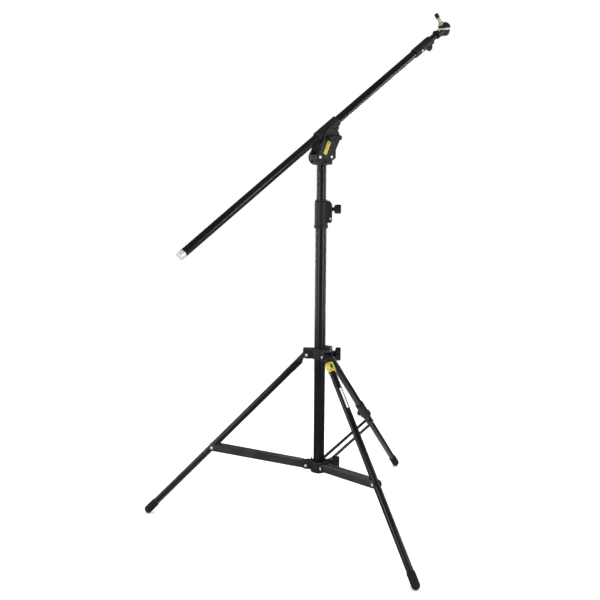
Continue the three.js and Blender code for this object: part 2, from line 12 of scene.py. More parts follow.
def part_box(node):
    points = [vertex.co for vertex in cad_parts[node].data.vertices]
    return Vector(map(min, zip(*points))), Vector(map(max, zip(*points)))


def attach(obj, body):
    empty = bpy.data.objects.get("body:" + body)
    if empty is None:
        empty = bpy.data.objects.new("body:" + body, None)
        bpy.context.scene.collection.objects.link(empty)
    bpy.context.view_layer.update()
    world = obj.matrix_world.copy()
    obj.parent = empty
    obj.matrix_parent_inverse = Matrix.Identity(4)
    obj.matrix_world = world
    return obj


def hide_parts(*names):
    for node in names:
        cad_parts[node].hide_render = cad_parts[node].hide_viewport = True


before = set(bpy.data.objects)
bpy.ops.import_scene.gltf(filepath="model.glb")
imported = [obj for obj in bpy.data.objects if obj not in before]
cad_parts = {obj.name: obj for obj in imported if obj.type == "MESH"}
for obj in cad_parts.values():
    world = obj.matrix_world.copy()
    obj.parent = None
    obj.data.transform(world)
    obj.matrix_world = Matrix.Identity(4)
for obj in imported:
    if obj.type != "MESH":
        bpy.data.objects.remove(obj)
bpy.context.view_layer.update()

MM = 0.001
FACETS = 72
TURN = 2 * math.pi

# ---------- places, as in the CAD ----------

PIVOT_RADIUS, HUB_PIVOT, COLLAR_PIVOT = 42, 179, 545
LEG_ANGLE = 44.1
ARM, BRACE, BRACE_ANGLE = 436.65, 308.36, 9.79
LEGS = {"back": 19, "left": 139, "front": 259}
KNOB_SIDE = 319
BOOM_Z, BOOM_RISE = 1232.7, 33.2
TILT_X, TILT_Z = 22.5, 1220.5
HUB_KNOB_Z, RISER_KNOB_Z, SOCKET_KNOB_Z = 188, 1004, 1161
COLLAR_KNOB_Z = COLLAR_PIVOT + 1
LEVELLING_KNOB_ALONG, CLAMP_KNOB_ALONG, CLAMP_TURN = 388, 553, 38
HEAD_BOLT_X, HEAD_BOLT_Z = {"rear": -25, "front": 21}, 1163
COLUMN_RADIUS, RISER_RADIUS, BOOM_RADIUS, EXTENSION_RADIUS = 17.5, 15, 12.5, 10
LEG_RADIUS, SLEEVE_RADIUS, LEVELLING_RADIUS = 11, 11.7, 10.4
STUD_HOLE, BOLT_HOLE = 4.5, 3.2
EAR = 15.8
HUB_EAR = {"back": 19, "left": 16.8, "front": 16.8}
HUB_SLOT = {"back": 16, "left": 13.8, "front": 13.8}


def shift(x, y, z):
    return Matrix.Translation(Vector((x, y, z)) * MM)


def spin(axis, degrees):
    return Matrix.Rotation(math.radians(degrees), 4, axis)


low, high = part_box("column_tube")
COLUMN = Matrix.Translation(((low.x + high.x) / 2, (low.y + high.y) / 2, 0))
BOOM = COLUMN @ shift(0, 0, BOOM_Z) @ spin("Y", -BOOM_RISE)
BOOM_AXIS = BOOM @ spin("Y", 90)
CLAMP = BOOM @ spin("X", CLAMP_TURN) @ spin("Y", 90)
SWIVEL = BOOM @ shift(622, 0, -2.3) @ spin("Y", 26.3)
SPIGOT_IN_SWIVEL = shift(-11.5, 0, 15) @ spin("Y", -33.7)
ALONG_X = spin("Y", 90)
ALONG_Y = spin("X", -90)
ALONG_MINUS_Y = spin("X", 90)


def facing(degrees):
    return COLUMN @ spin("Z", degrees)


def brace_frame(side):
    return facing(LEGS[side]) @ shift(PIVOT_RADIUS, 0, HUB_PIVOT) @ spin("Y", -BRACE_ANGLE)


def leg_frame(side):
    top = facing(LEGS[side]) @ shift(PIVOT_RADIUS, 0, COLLAR_PIVOT)
    return top @ spin("Y", 180 - LEG_ANGLE)


# ---------- materials ----------


class Nodes:
    """A material's node tree, with short calls for the few node kinds used here."""

    def __init__(self, name):
        self.material = bpy.data.materials.new(name)
        self.material.use_nodes = True
        self.tree = self.material.node_tree
        self.shader = self.tree.nodes["Principled BSDF"]
        self.place = self.add("ShaderNodeTexCoord").outputs["Object"]

    def add(self, kind, links=(), **values):
        node = self.tree.nodes.new(kind)
        for key, value in values.items():
            setattr(node, key, value)
        for socket, source in links:
            self.put(node.inputs[socket], source)
        return node

    def put(self, socket, source):
        if isinstance(source, bpy.types.NodeSocket):
            self.tree.links.new(source, socket)
        else:
            socket.default_value = source

    def noise(self, scale, detail=3.0, stretch=None, rough=0.5):
        """Noise from 0 to 1; scale is features per metre, stretch the share of it along X, Y, Z."""
        where = self.place
        if stretch:
            where = self.add("ShaderNodeMapping", [(0, where), (3, stretch)]).outputs[0]
        values = [("Vector", where), ("Scale", scale), ("Detail", detail), ("Roughness", rough)]
        return self.add("ShaderNodeTexNoise", values).outputs[0]

    def ramp(self, source, low, high, start=0.0, end=1.0):
        """source from start to end becomes low to high."""
        values = [(0, source), (1, start), (2, end), (3, low), (4, high)]
        return self.add("ShaderNodeMapRange", values, clamp=True).outputs[0]

    def mix(self, share, first, second):
        node = self.add("ShaderNodeMix", data_type="RGBA")
        for socket, value in ((0, share), (6, first), (7, second)):
            self.put(node.inputs[socket], value)
        return node.outputs[2]

    def bump(self, height, strength, distance, below=None):
        values = [("Height", height), ("Strength", strength), ("Distance", distance)]
        if below:
            values.append(("Normal", below))
        return self.add("ShaderNodeBump", values).outputs[0]

    def finish(self, colour, rough, normal=None, metallic=0.0, specular=0.5, coat=0.0):
        inputs = self.shader.inputs
        self.put(inputs["Base Color"], colour)
        self.put(inputs["Roughness"], rough)
        if normal:
            self.put(inputs["Normal"], normal)
        inputs["Metallic"].default_value = metallic
        inputs["Specular IOR Level"].default_value = specular
        inputs["Coat Weight"].default_value = coat
        return self.material


def grey(value, tint=(1.0, 1.0, 1.0)):
    return (value * tint[0], value * tint[1], value * tint[2], 1)


def tube_material():
    """Black anodised tube: faint draw lines along it, rubbed patches and a few fine scratches."""
    n = Nodes("black_anodised_tube")
    draw = n.noise(700, 2, (1, 1, 0.004), 0.5)
    patches = n.noise(18, 4, (1, 1, 0.3), 0.55)
    scratch = n.ramp(n.noise(420, 2, (1, 1, 0.02), 0.4), 0, 1, 0.70, 0.76)
    colour = n.mix(n.ramp(patches, 0, 1, 0.35, 0.7), grey(0.004), grey(0.008, (0.98, 0.98, 1.04)))
    colour = n.mix(n.ramp(scratch, 0, 0.35), colour, grey(0.03))
    spread = n.add("ShaderNodeMath", [(0, n.ramp(draw, -0.02, 0.03)), (1, n.ramp(patches, 0.24, 0.33))])
    normal = n.bump(draw, 0.02, 0.0001)
    return n.finish(colour, spread.outputs[0], normal, specular=0.4)


def worn(n, colour, lighter, start=0.52, end=0.6):
    """Paint rubbed lighter along the edges, broken up by noise."""
    edge = n.ramp(n.add("ShaderNodeNewGeometry").outputs["Pointiness"], 0, 1, start, end)
    broken = n.ramp(n.noise(260, 4), 0.15, 0.9, 0.35, 0.65)
    share = n.add("ShaderNodeMath", [(0, edge), (1, broken)], operation="MULTIPLY")
    return n.mix(share.outputs[0], colour, lighter)


def casting_material():
    """Fine textured black powder coat on a die casting."""
    n = Nodes("black_powder_coat")
    grain, flow = n.noise(1300, 3, rough=0.6), n.noise(60, 4)
    colour = n.mix(n.ramp(grain, 0, 1, 0.35, 0.7), grey(0.005), grey(0.014, (1, 1, 1.04)))
    colour = worn(n, colour, grey(0.05))
    rough = n.add("ShaderNodeMath", [(0, n.ramp(grain, -0.06, 0.08)), (1, n.ramp(flow, 0.42, 0.56))])
    normal = n.bump(grain, 0.35, 0.0003, n.bump(flow, 0.2, 0.0008))
    return n.finish(colour, rough.outputs[0], normal, specular=0.4)


def brace_material():
    """Dull dark paint on pressed steel."""
    n = Nodes("dark_painted_steel")
    mottle, grain = n.noise(45, 5, (1, 1, 1), 0.6), n.noise(700, 3)
    colour = n.mix(n.ramp(mottle, 0, 1, 0.3, 0.7), grey(0.012, (1, 1.04, 0.93)), grey(0.022, (1, 1.05, 0.9)))
    colour = worn(n, colour, grey(0.06, (1, 1, 0.93)))
    normal = n.bump(mottle, 0.2, 0.0007, n.bump(grain, 0.2, 0.0002))
    return n.finish(colour, n.ramp(mottle, 0.36, 0.55, 0.3, 0.7), normal)


def plastic_material():
    """Moulded black plastic with a fine spark texture and handling shine."""
    n = Nodes("black_moulded_plastic")
    spark, shine = n.noise(1700, 2), n.noise(90, 4)
    colour = n.mix(n.ramp(spark, 0, 1, 0.3, 0.7), grey(0.004), grey(0.010))
    colour = worn(n, colour, grey(0.03), 0.53, 0.62)
    return n.finish(colour, n.ramp(shine, 0.34, 0.55, 0.3, 0.7), n.bump(spark, 0.3, 0.0002), specular=0.4)


def rubber_material():
    """Matt rubber with a little floor dust towards its worn places."""
    n = Nodes("black_rubber_feet")
    dust, grain = n.noise(120, 5, rough=0.65), n.noise(1500, 2)
    colour = n.mix(n.ramp(dust, 0, 0.8, 0.5, 0.75), grey(0.005), grey(0.02, (1, 0.97, 0.92)))
    return n.finish(colour, n.ramp(dust, 0.68, 0.9, 0.3, 0.7), n.bump(grain, 0.4, 0.0002), specular=0.35)


def nylon_material():
    n = Nodes("black_nylon_bush")
    haze, grain = n.noise(150, 3), n.noise(1100, 2, (1, 1, 0.2))
    colour = n.mix(haze, grey(0.014), grey(0.026))
    return n.finish(colour, n.ramp(haze, 0.4, 0.55, 0.3, 0.7), n.bump(grain, 0.2, 0.0001))


def metal_material(name, bright, dull, rough, stretch=(1, 1, 1), scale=800, metallic=0.6):
    """Bare or plated metal: fine tool marks, cloudy tarnish."""
    n = Nodes(name)
    marks, cloud = n.noise(scale, 3, stretch), n.noise(140, 4)
    colour = n.mix(n.ramp(cloud, 0, 1, 0.35, 0.75), bright, dull)
    shine = n.add("ShaderNodeMath", [(0, n.ramp(marks, -0.06, 0.08)), (1, n.ramp(cloud, *rough, 0.3, 0.7))])
    return n.finish(colour, shine.outputs[0], n.bump(marks, 0.1, 0.0001), metallic=metallic)


def print_material(name, clean, faded):
    """Printed label or marking: slightly uneven ink with soiled patches."""
    n = Nodes(name)
    ink, soil = n.noise(900, 3), n.noise(170, 5, rough=0.6)
    colour = n.mix(n.ramp(soil, 0, 1, 0.42, 0.78), clean, faded)
    return n.finish(colour, n.ramp(soil, 0.32, 0.5, 0.3, 0.7), n.bump(ink, 0.12, 0.0001))


TUBE = tube_material()
CASTING = casting_material()
PAINT = brace_material()
PLASTIC = plastic_material()
RUBBER = rubber_material()
NYLON = nylon_material()
ZINC = metal_material("bright_zinc", grey(0.72, (0.98, 1, 1.03)), grey(0.6), (0.3, 0.42))
ALUMINIUM = metal_material(
    "turned_aluminium", grey(0.86), grey(0.72), (0.28, 0.4), stretch=(0.03, 0.03, 1), scale=1500
)
BRASS = metal_material(
    "tarnished_brass", grey(1, (0.58, 0.50, 0.33)), grey(1, (0.34, 0.28, 0.17)), (0.28, 0.44)
)
YELLOW = print_material("yellow_label_film", grey(1, (0.46, 0.39, 0.03)), grey(1, (0.36, 0.30, 0.025)))
WHITE = print_material("white_marking_ink", grey(0.82), grey(0.62, (1, 0.98, 0.94)))
INK = print_material("dark_label_ink", grey(0.014), grey(0.03))

# ---------- mesh making ----------


def rounded(corners, closed, steps=4):
    """Corners (a, b) or (a, b, radius) as a list of points, with an arc where there is a radius."""
    points = []
    for i, corner in enumerate(corners):
        here = Vector(corner[:2])
        radius = corner[2] if len(corner) > 2 else 0
        if not radius or (not closed and i in (0, len(corners) - 1)):
            points.append(here)
            continue
        before = Vector(corners[i - 1][:2]) - here
        after = Vector(corners[(i + 1) % len(corners)][:2]) - here
        half = before.angle(after) / 2
        reach = min(radius / math.tan(half), before.length * 0.49, after.length * 0.49)
        radius = reach * math.tan(half)
        middle = (before.normalized() + after.normalized()).normalized()
        centre = here + middle * (radius / math.sin(half))
        first = here + before.normalized() * reach - centre
        last = here + after.normalized() * reach - centre
        start = math.atan2(first.y, first.x)
        sweep = (math.atan2(last.y, last.x) - start + math.pi) % TURN - math.pi
        for k in range(steps + 1):
            angle = start + sweep * k / steps
            points.append(centre + radius * Vector((math.cos(angle), math.sin(angle))))
    return points


def arc(x, z, radius, start, end, steps=16):
    """Points of an arc, its angles in radians."""
    angles = [start + (end - start) * k / steps for k in range(steps + 1)]
    return [(x + radius * math.cos(a), z + radius * math.sin(a)) for a in angles]


def lathe(corners, closed=False, facets=FACETS, wave=None, steps=4):
    """A body turned about Z from (radius, height, fillet) corners.  wave bends the radius."""
    body = bmesh.new()
    rings = []
    for radius, height in rounded(corners, closed, steps):
        if radius < 1e-6:
            rings.append([body.verts.new((0, 0, height * MM))])
            continue
        ring = []
        for i in range(facets):
            angle = TURN * i / facets
            reach = (wave(radius, height, angle) if wave else radius) * MM
            ring.append(body.verts.new((reach * math.cos(angle), reach * math.sin(angle), height * MM)))
        rings.append(ring)
    for below, above in zip(rings, rings[1:] + (rings[:1] if closed else [])):
        for i in range(facets):
            j = (i + 1) % facets
            quad = ((below, i), (below, j), (above, j), (above, i))
            loop = [row[k % len(row)] for row, k in quad]
            loop = list(dict.fromkeys(loop))
            if len(loop) > 2:
                body.faces.new(loop)
    bmesh.ops.recalc_face_normals(body, faces=body.faces)
    return body


def rod(radius, start, end, edge=0.0, facets=FACETS):
    return lathe([(0, start), (radius, start, edge), (radius, end, edge), (0, end)], facets=facets)


def pipe(outer, inner, start, end, edge=0.4, facets=FACETS):
    corners = [(inner, start, edge), (outer, start, edge), (outer, end, edge), (inner, end, edge)]
    return lathe(corners, closed=True, facets=facets, steps=2)


def plate(outline, start, end, bevel=0.0, steps=2):
    """A side view outline of (x, z, fillet) corners, given its thickness along Y."""
    body = bmesh.new()
    points = rounded(outline, True)
    near = [body.verts.new((p.x * MM, start * MM, p.y * MM)) for p in points]
    far = [body.verts.new((p.x * MM, end * MM, p.y * MM)) for p in points]
    body.faces.new(near)
    body.faces.new(list(reversed(far)))
    for i in range(len(points)):
        j = (i + 1) % len(points)
        body.faces.new([near[j], near[i], far[i], far[j]])
    bmesh.ops.recalc_face_normals(body, faces=body.faces)
    if bevel:
        round_edges(body, bevel, steps)
    return body


def block(x, y, z, bevel=0.0):
    return plate([(x[0], z[0]), (x[1], z[0]), (x[1], z[1]), (x[0], z[1])], y[0], y[1], bevel)


def round_edges(body, width, steps=2, sharper_than=40):
    sharp = [
        e for e in body.edges
        if len(e.link_faces) == 2 and e.calc_face_angle(0) > math.radians(sharper_than)
    ]
    bmesh.ops.bevel(
        body, geom=sharp, offset=width * MM, segments=steps, profile=0.5, affect="EDGES", clamp_overlap=True
    )


def moved(body, place):
    bmesh.ops.transform(body, matrix=place, verts=body.verts)
    return body


def merged(*bodies):
    """Separate closed shells in one mesh."""
    whole = bodies[0]
    for other in bodies[1:]:
        mesh = bpy.data.meshes.new("part")
        other.to_mesh(mesh)
        other.free()
        whole.from_mesh(mesh)
        bpy.data.meshes.remove(mesh)
    return whole


def scratch_object(body):
    mesh = bpy.data.meshes.new("tool")
    body.to_mesh(mesh)
    body.free()
    item = bpy.data.objects.new("tool", mesh)
    bpy.context.scene.collection.objects.link(item)
    return item


def shaped(solids, cuts=(), voxel=0.0, passes=0, trim="DIFFERENCE"):
    """Solids joined and cut.  With a voxel size the result is remeshed and smoothed, which leaves
    the small fillets of a casting."""
    items = [scratch_object(solid) for solid in (*solids, *cuts)]
    base = items[0]
    for i, item in enumerate(items[1:], 1):
        step = base.modifiers.new("step", "BOOLEAN")
        step.operation = "UNION" if i < len(solids) else trim
        step.solver = "EXACT"
        step.object = item
    if voxel:
        remesh = base.modifiers.new("remesh", "REMESH")
        remesh.mode = "VOXEL"
        remesh.voxel_size = voxel * MM
        smooth = base.modifiers.new("smooth", "SMOOTH")
        smooth.factor = 0.5
        smooth.iterations = passes
    graph = bpy.context.evaluated_depsgraph_get()
    result = bmesh.new()
    mesh = bpy.data.meshes.new_from_object(base.evaluated_get(graph))
    result.from_mesh(mesh)
    for item in items:
        leftover = item.data
        bpy.data.objects.remove(item)
        bpy.data.meshes.remove(leftover)
    bpy.data.meshes.remove(mesh)
    return result


def cast(solids, cuts=(), voxel=0.9, passes=4):
    return shaped(solids, cuts, voxel, passes)


def piece(name, body, place, material, rides, *nodes, sharp=38):
    """Makes the visible object, rides it on its CAD body and hides the CAD nodes it stands for.
    Only the materials with a direction keep the piece's own axes; the rest are placed outright."""
    bmesh.ops.recalc_face_normals(body, faces=body.faces)
    directional = material in (TUBE, ALUMINIUM, NYLON)
    if not directional:
        moved(body, place)
    mesh = bpy.data.meshes.new(name)
    body.to_mesh(mesh)
    body.free()
    mesh.materials.clear()
    mesh.materials.append(material)
    mesh.shade_smooth()
    if sharp:
        mesh.set_sharp_from_angle(angle=math.radians(sharp))
    item = bpy.data.objects.new(name, mesh)
    bpy.context.scene.collection.objects.link(item)
    if directional:
        item.matrix_world = place
    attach(item, rides)
    if nodes:
        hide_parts(*nodes)
    return item


def rivet(reach, radius=4.6, height=2.2):
    """Domed rivet along Y, with a head outside each face at y = -reach and y = reach."""
    face = reach + 0.3
    dome = [(radius * math.sin(a), face + 0.5 + (height - 0.5) * math.cos(a))
            for a in [math.pi / 2 * (1 - k / 5) for k in range(6)]]
    half = [(2.8, face), (radius, face, 0.15)] + dome[:-1] + [(0, face + height)]
    lower = [(c[0], -c[1], *c[2:]) for c in reversed(half)]
    return moved(lathe(lower + half, facets=32), ALONG_Y)


def ribbed_knob(radius, depth, lobes, start, neck, neck_length, stud_length, rib=0.07):
    """Moulded hand knob along Z: fluted grip from z = start, dished end, neck and stud below."""
    grip = radius * 0.72

    def flutes(reach, height, angle):
        share = max(0.0, min(1.0, (reach - grip) / (radius - grip)))
        inside = start + 0.6 < height < start + depth - 0.4
        return reach * (1 - rib * share * (1 - math.cos(lobes * angle)) / 2) if inside else reach * 0.985

    top = start + depth
    foot = start - neck_length
    corners = [
        (0, foot - stud_length), (4, foot - stud_length, 0.6), (4, foot), (neck, foot, 0.5),
        (neck * 0.92, start - neck_length * 0.3, 0.8), (grip, start, 1.2), (radius * 0.97, start + 1.4, 1.6),
        (radius, start + depth * 0.35, 2), (radius, top - 2.6, 1.6), (radius * 0.9, top, 1.4),
        (radius * 0.62, top, 1.2), (radius * 0.56, top - 1.4, 0.8), (radius * 0.3, top - 1.4, 0.6),
        (radius * 0.27, top - 0.5, 0.4), (0, top - 0.3),
    ]
    return lathe(corners, facets=lobes * 12, wave=flutes)


def socket_screw(radius, height):
    """Hex socket screw head standing on z = 0."""
    head = rod(radius, 0, height, 0.5, 32)
    key = rod(radius * 0.55, height * 0.4, height + 5, facets=6)
    return shaped([head], [key])


# ---------- column, lower hub and riser lock ----------


def make_column():
    piece("column_skin", pipe(COLUMN_RADIUS, 15.7, 157, 1012, 0.5), COLUMN, TUBE, "base", "column_tube")
    plug = lathe([(0, 153.4), (9, 153.4, 0.6), (10, 152, 0.5), (17.5, 152, 1.4), (17.5, 156.7, 0.4),
                  (15.4, 156.7), (15.4, 170, 0.8), (0, 170)])
    piece("column_plug", plug, COLUMN, PLASTIC, "base", "column_end_plug")


def hub_ears(side):
    z, half, slot = HUB_PIVOT, HUB_EAR[side], HUB_SLOT[side]
    outline = [(20, z - 13)] + arc(PIVOT_RADIUS, z, 12, -math.pi / 2, math.pi / 2) + [(20, z + 13)]
    ears = plate(outline, -half, half)
    gap = block([29, 70], [-slot, slot], [140, 220])
    return shaped([ears], [gap])


def make_lower_hub():
    ring = lathe([(16, 156), (27, 156, 2), (27, 192, 2.4), (16, 192)], closed=True)
    ears = [moved(hub_ears(side), spin("Z", angle)) for side, angle in LEGS.items()]
    to_knob = spin("Z", KNOB_SIDE) @ shift(0, 0, HUB_KNOB_Z) @ ALONG_X
    boss = moved(rod(9, 20, 33.4, 1), to_knob)
    bore = rod(17.8, 100, 300)
    stud = moved(rod(STUD_HOLE, 10, 50), to_knob)
    hub = cast([ring, *ears, boss], [bore, stud], 0.85, 5)
    piece("lower_hub_casting", hub, COLUMN, CASTING, "base", "lower_hub", sharp=0)
    peg = lathe([(0, 192.3), (2.6, 192.3), (2.6, 195, 0.5), (1.8, 196.2, 0.4), (1.8, 203, 0.8), (0, 204.5)])
    piece("hub_catch", peg, facing(LEGS["left"]) @ shift(23, 0, 0), PLASTIC, "base", "hub_catch_peg")
    for side, angle in LEGS.items():
        place = facing(angle) @ shift(PIVOT_RADIUS, 0, HUB_PIVOT)
        piece(f"hub_rivet_{side}", rivet(HUB_EAR[side]), place, ZINC, "base", f"hub_pin_{side}")
    knob = ribbed_knob(18.5, 25, 10, 42, 8, 8.3, 14, 0.1)
    piece("hub_knob_grip", knob, COLUMN @ to_knob, PLASTIC, "hub_knob", "lower_hub_knob")


def make_riser_lock():
    sleeve = lathe([(16, 945), (21.9, 945, 1.4), (21.9, 954, 0.9), (20.5, 955.4, 0.5), (20.5, 1026, 2.5),
                    (18.6, 1030, 1), (16, 1030)], closed=True)
    outline = [(10, 962), (30, 962, 2.5), (34, 968, 3), (34, 1018, 4), (26, 1029, 3), (10, 1029)]
    to_lug = spin("Z", KNOB_SIDE)
    to_knob = to_lug @ shift(0, 0, RISER_KNOB_Z) @ ALONG_X
    lug = moved(plate(outline, -11, 11, 2, 3), to_lug)
    boss = moved(rod(8.5, 28, 34.4, 0.8), to_knob)
    slit = moved(block([19.6, 40], [-0.7, 0.7], [900, 1100]), to_lug)
    seat = rod(17.8, 900, 1012.3)
    throat = rod(17.4, 900, 1100)
    stud = moved(rod(STUD_HOLE, 10, 50), to_knob)
    collar = cast([sleeve, lug, boss], [seat, throat, stud, slit], 0.75, 4)
    piece("riser_lock_casting", collar, COLUMN, CASTING, "base", "riser_lock_collar", sharp=0)
    place = facing(KNOB_SIDE) @ shift(29, -10.6, 975) @ ALONG_MINUS_Y
    piece("riser_lock_screw_975", socket_screw(3.6, 3), place, ZINC, "base")
    bush = lathe([(15.3, 1013), (17.1, 1013), (17.1, 1030.3), (19, 1030.3, 0.4), (19, 1032.3, 0.7),
                  (15.3, 1032.3, 0.4)], closed=True)
    piece("riser_bush_ring", bush, COLUMN, NYLON, "base", "riser_bush")
    knob = ribbed_knob(14, 20, 10, 41, 6, 6.5, 14, 0.12)
    piece("riser_knob_grip", knob, COLUMN @ to_knob, PLASTIC, "riser_knob", "riser_lock_knob")


# ---------- sliding leg collar ----------


def collar_arm():
    """One hollow arm of the collar: two cheeks under a thin top."""
    z = COLLAR_PIVOT
    outline = [(20, z - 12), (46, z - 12, 4), (53, z - 4, 4), (53, z + 17.8, 2), (20, z + 17.8)]
    arm = plate(outline, -EAR, EAR, 1.2)
    inside = block([30.5, 70], [-12.3, 12.3], [z - 60, z + 14.8])
    return shaped([arm], [inside])


def make_leg_collar():
    z = COLLAR_PIVOT
    ring = lathe([(19, z - 13), (26.5, z - 13, 2), (26.5, z + 18, 2.4), (19, z + 18)], closed=True)
    arms = [moved(collar_arm(), spin("Z", angle)) for angle in LEGS.values()]
    to_lug = spin("Z", KNOB_SIDE)
    outline = [(19.3, z - 12), (41, z - 12, 4), (41, z + 14, 3), (36, z + 21, 3), (19.3, z + 21)]
    lug = plate(outline, -13, 13, 2.2, 3)
    slit = block([25, 46], [-0.8, 0.8], [z - 60, z + 60])
    to_knob = shift(0, 0, COLLAR_KNOB_Z) @ ALONG_X
    stud = moved(rod(STUD_HOLE, 22.5, 60), to_knob)
    lug = moved(shaped([lug], [slit, stud]), to_lug)
    boss = moved(pipe(10.5, STUD_HOLE, 36, 41.3, 0.8), to_lug @ to_knob)
    # The shells overlap; remeshing alone makes them one casting.
    collar = cast([merged(ring, lug, boss, *arms)], (), 0.85, 4)
    piece("leg_collar_casting", collar, COLUMN, CASTING, "leg_collar", "leg_collar", sharp=0)
    bush = pipe(18.7, 17.8, z - 14, z + 19.5, 0.3)
    piece("leg_collar_liner", bush, COLUMN, NYLON, "leg_collar", "leg_collar_bush")
    screw = facing(KNOB_SIDE) @ shift(33, -12.8, z + 12) @ ALONG_MINUS_Y
    piece("leg_collar_screw", socket_screw(3.8, 3), screw, ZINC, "leg_collar")
    for side, angle in LEGS.items():
        place = facing(angle) @ shift(PIVOT_RADIUS, 0, z)
        piece(f"leg_rivet_{side}", rivet(EAR), place, ZINC, "leg_collar", f"leg_pin_{side}")
    knob = ribbed_knob(21.5, 17, 12, 49, 11, 7.5, 20, 0.09)
    piece("collar_knob_grip", knob, facing(KNOB_SIDE) @ to_knob, PLASTIC, "collar_knob", "leg_collar_knob")


# ---------- braces ----------


def channel():
    """Pressed steel channel, open below, with a shallow stiffening bead along its top."""
    web_start, web_end, below, top, outer, inner = 16, BRACE - 25, 11, 13.4, 13.4, 11.4
    outline = [(0, -below)] + arc(BRACE, 0, below, -math.pi / 2, math.pi / 2)
    outline += [(web_end, top, 6), (web_start, top, 6)] + arc(0, 0, below, math.pi / 2, math.pi * 1.5)[:-1]
    sides = plate(outline, -outer, outer, 1.6, 3)
    trough = block([-40, BRACE + 40], [-inner, inner], [-40, 11.4])
    mouth = block([-40, web_start], [-inner, inner], [0, 40])
    far_mouth = block([web_end, BRACE + 40], [-inner, inner], [0, 40])
    groove = plate([(34, 12.9, 0.3), (web_end - 20, 12.9, 0.3), (web_end - 18, 16), (32, 16)], -4.2, 4.2)
    return shaped([sides], [trough, mouth, far_mouth, groove])


def bar(start, end):
    outline = arc(BRACE, 0, 6, -math.pi / 2, math.pi / 2, 12) + arc(0, 0, 6, math.pi / 2, math.pi * 1.5, 12)
    return plate(outline, start, end, 0.7, 2)


def brace_screw():
    corners = [(0, 11.2), (2.8, 11.2), (2.8, 15.9), (4.6, 15.9, 0.2), (4.2, 17.2, 0.8), (0, 18.1)]
    return lathe(corners, facets=32)


def make_braces():
    for side in ("left", "front"):
        place = brace_frame(side)
        piece(f"brace_channel_{side}", channel(), place, PAINT, f"brace_{side}", f"brace_{side}")
        end = place @ shift(BRACE, 0, 0)
        piece(f"brace_rivet_{side}", rivet(13.4), end, ZINC, f"brace_{side}", f"brace_pin_{side}")
    place = brace_frame("back")
    for name, start, end in (("near", -15.6, -12.6), ("far", 12.6, 15.6)):
        node = f"brace_back_{name}_bar"
        piece(f"brace_strip_{name}", bar(start, end), place, PAINT, "brace_back", node)
    end = place @ shift(BRACE, 0, 0)
    for name, along in (("far", ALONG_Y), ("near", ALONG_MINUS_Y)):
        node = f"brace_screw_back_{name}"
        piece(f"brace_screw_{name}", brace_screw(), end @ along, ZINC, "brace_back", node)


# ---------- legs ----------

TUBE_START, TUBE_END, FOOT_CENTRE, FOOT_RADIUS = 34, 726, 742, 13


def leg_top(plug_radius):
    """Cast top end: two rounded flats round the pivot, open on the underside."""
    end = TUBE_START - 0.3
    outline = [(11, end), (-11, end), (-11, 0)] + arc(0, 0, 11, math.pi, TURN, 24)[1:]
    flats = plate(outline, -11, 11, 1.6, 3)
    neck = rod(12.6, -20, end, 0.8)
    head = shaped([flats], [neck], trim="INTERSECT")
    collar = pipe(11.2, 6, end - 7, end, 0.6)
    plug = rod(plug_radius, end - 2, end + 24)
    notch = plate([(-1.9, 4.4, 1), (-3.2, 1, 1), (-2.3, -2.3, 1), (0, -3.3, 1), (15, -0.2), (15, 40),
                   (12.4, 33.8), (5.7, 22.5), (2.9, 16.8)], -30, 30)
    return cast([head, collar, plug], [notch], 0.7, 3)


def foot(tube_radius):
    """Moulded rubber cap with grip rings, cut level where it stands on the floor."""
    bore, seat = tube_radius + 0.3, TUBE_END + 0.3
    wall = [(bore, 704, 0.3), (FOOT_RADIUS - 1, 704, 0.5), (FOOT_RADIUS, 706, 0.6)]
    for ring in (713, 719, 725, 731):
        wall += [(FOOT_RADIUS, ring - 1, 0.3), (FOOT_RADIUS - 0.7, ring, 0.5), (FOOT_RADIUS, ring + 1, 0.3)]
    dome = [(x, FOOT_CENTRE + z) for x, z in arc(0, 0, FOOT_RADIUS, 0, math.pi / 2, 10)][:-1]
    cap = lathe([(0, seat), (bore, seat)] + wall + dome + [(0, FOOT_CENTRE + FOOT_RADIUS)])
    tilt = math.radians(LEG_ANGLE)
    floor = Vector((0, 0, COLLAR_PIVOT / math.cos(tilt) * MM))
    down = Vector((math.sin(tilt), 0, math.cos(tilt)))
    flat = bmesh.ops.bisect_plane(
        cap, geom=[*cap.verts, *cap.edges, *cap.faces], plane_co=floor, plane_no=down, clear_outer=True
    )
    rim = [e for e in flat["geom_cut"] if isinstance(e, bmesh.types.BMEdge)]
    bmesh.ops.contextual_create(cap, geom=rim)
    return cap


def wrap(radius, start, end, first, last, thickness=0.25):
    """A film round a tube along Z, between two angles in degrees."""
    film = bmesh.new()
    steps = max(3, round(abs(last - first) / 5))
    rows = []
    for reach in (radius, radius + thickness):
        for z in (start, end):
            angles = [math.radians(first + (last - first) * k / steps) for k in range(steps + 1)]
            rows.append([film.verts.new((reach * math.cos(a) * MM, reach * math.sin(a) * MM, z * MM))
                         for a in angles])
    inner_low, inner_high, outer_low, outer_high = rows
    for one, two in ((inner_low, inner_high), (outer_low, outer_high), (inner_low, outer_low),
                     (inner_high, outer_high)):
        for k in range(steps):
            film.faces.new([one[k], one[k + 1], two[k + 1], two[k]])
    for k in (0, steps):
        film.faces.new([inner_low[k], inner_high[k], outer_high[k], outer_low[k]])
    return film


